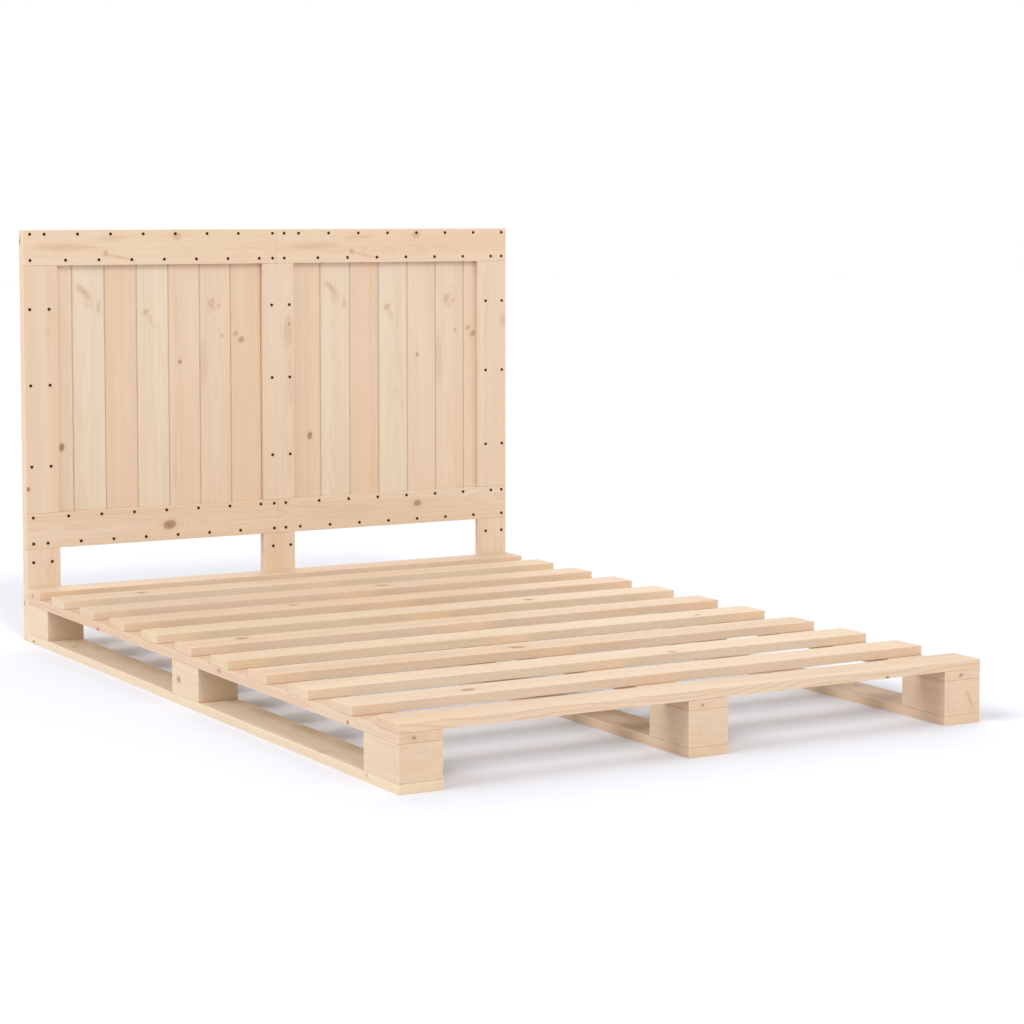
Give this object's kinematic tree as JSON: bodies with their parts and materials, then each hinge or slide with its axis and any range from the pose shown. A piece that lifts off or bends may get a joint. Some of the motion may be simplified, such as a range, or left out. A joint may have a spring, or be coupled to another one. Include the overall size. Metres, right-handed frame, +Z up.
{
  "type": "bed frame",
  "caption": "Pallet-style solid pine bed frame: slatted deck on blocks and runners, with a boarded headboard framed by rails and stiles.",
  "frame": {"origin": "on the floor, under the middle of the whole frame's outline", "axes": "+Z up, +Y from the foot towards the headboard, +X to the right as seen from the foot"},
  "size_m": [1.4, 2.0486, 1.041],
  "materials": {
    "pine_runner": "planed, untreated, matt",
    "pine_block": "planed, untreated, matt",
    "pine_stringer": "planed, untreated, matt",
    "pine_slat": "planed, untreated, matt",
    "pine_frame": "planed, untreated, matt",
    "pine_panel": "planed, untreated, matt",
    "plated_steel": "zinc plated"
  },
  "bodies": {
    "root": {"runner_left": "pine_runner", "runner_middle": "pine_runner", "runner_right": "pine_runner", "block_left_foot": "pine_block", "block_left_centre": "pine_block", "block_left_head": "pine_block", "block_middle_foot": "pine_block", "block_middle_centre": "pine_block", "block_middle_head": "pine_block", "block_right_foot": "pine_block", "block_right_centre": "pine_block", "block_right_head": "pine_block", "stringer_left": "pine_stringer", "stringer_middle": "pine_stringer", "stringer_right": "pine_stringer", "deck_slat_01": "pine_slat", "deck_slat_02": "pine_slat", "deck_slat_03": "pine_slat", "deck_slat_04": "pine_slat", "deck_slat_05": "pine_slat", "deck_slat_06": "pine_slat", "deck_slat_07": "pine_slat", "deck_slat_08": "pine_slat", "deck_slat_09": "pine_slat", "deck_slat_10": "pine_slat", "deck_slat_11": "pine_slat", "top_rail_left": "pine_frame", "top_rail_right": "pine_frame", "bottom_rail_left": "pine_frame", "bottom_rail_right": "pine_frame", "stile_left": "pine_frame", "stile_middle": "pine_frame", "stile_right": "pine_frame", "leg_facing_left": "pine_frame", "leg_facing_middle": "pine_frame", "leg_facing_right": "pine_frame", "leg_board_left_wide": "pine_panel", "leg_board_left_narrow": "pine_panel", "leg_board_right_wide": "pine_panel", "leg_board_right_narrow": "pine_panel", "panel_board_left_1": "pine_panel", "panel_board_left_2": "pine_panel", "panel_board_left_3": "pine_panel", "panel_board_left_4": "pine_panel", "panel_board_left_5": "pine_panel", "panel_board_left_6": "pine_panel", "panel_board_left_7": "pine_panel", "panel_board_right_1": "pine_panel", "panel_board_right_2": "pine_panel", "panel_board_right_3": "pine_panel", "panel_board_right_4": "pine_panel", "panel_board_right_5": "pine_panel", "panel_board_right_6": "pine_panel", "panel_board_right_7": "pine_panel", "leg_bolt_left_upper": "plated_steel", "leg_bolt_left_lower": "plated_steel", "leg_bolt_middle_upper": "plated_steel", "leg_bolt_middle_lower": "plated_steel", "leg_bolt_right_upper": "plated_steel", "leg_bolt_right_lower": "plated_steel"}
  },
  "joints": []
}
